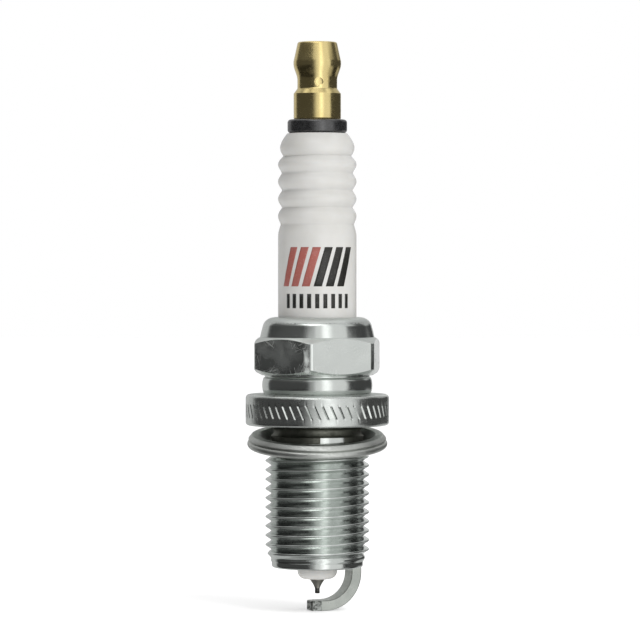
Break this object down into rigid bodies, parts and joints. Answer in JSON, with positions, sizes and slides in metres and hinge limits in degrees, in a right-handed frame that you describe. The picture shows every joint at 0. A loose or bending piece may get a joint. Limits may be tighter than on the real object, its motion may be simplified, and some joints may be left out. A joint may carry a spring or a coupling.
{
  "type": "spark plug",
  "caption": "Upright motorcycle spark plug: brass terminal nut, ribbed white insulator, hexagon shell with threaded barrel, loose folded gasket and bent ground strap.",
  "frame": {"origin": "on the plug's axis, in the plane of the flange's underside, which seats on the cylinder head through the gasket", "axes": "+Z along the plug's axis from the spark gap to the terminal; +X to the right and -Y towards the viewer in the front view; the ground strap's root is 22.5 degrees from +X towards +Y"},
  "size_m": [0.0192, 0.0192, 0.076],
  "materials": {
    "brass": "bright turned brass",
    "black_washer": "black, slightly glossy",
    "stud_steel": "plain steel, rolled thread",
    "alumina": "white glazed ceramic",
    "plated_steel": "bright zinc or nickel plate",
    "gasket_steel": "dull plated sheet steel",
    "nickel_alloy": "satin nickel alloy",
    "copper": "copper",
    "iridium": "dark grey precious metal",
    "seal_glass": "copper-filled conducting glass",
    "resistor": "carbon-filled glass",
    "ring_steel": "plain steel",
    "talc": "pressed powder"
  },
  "bodies": {
    "plug_body": {"shell": "plated_steel", "insulator": "alumina", "terminal_stud": "stud_steel", "ground_electrode": "nickel_alloy", "centre_electrode": "nickel_alloy", "electrode_copper_core": "copper", "iridium_tip": "iridium", "lower_glass_seal": "seal_glass", "resistor": "resistor", "upper_glass_seal": "seal_glass", "inner_seat_washer": "ring_steel", "lower_wire_ring": "ring_steel", "talc_packing": "talc", "upper_wire_ring": "ring_steel"},
    "washer_body": {"terminal_washer": "black_washer"},
    "nut_body": {"terminal_nut": "brass"},
    "gasket_body": {"crush_gasket": "gasket_steel"}
  },
  "joints": [
    {"name": "terminal_lift", "type": "slide", "parent": "plug_body", "child": "washer_body", "axis": [0, 0, 1], "range_m": [0, 0.0084]},
    {"name": "terminal_unscrew", "type": "hinge", "parent": "washer_body", "child": "nut_body", "pos_m": [0, 0, 0.0425], "axis": [0, 0, 1], "range_deg": [0, 4325]},
    {"name": "gasket_close", "type": "hinge", "parent": "plug_body", "child": "gasket_body", "pos_m": [0, 0.00843, -0.00006], "axis": [-1, 0, 0], "range_deg": [0, 7.5]}
  ],
  "couplings": [
    {"joint": "terminal_unscrew", "follows": "terminal_lift", "rad_per_m": 8976}
  ]
}
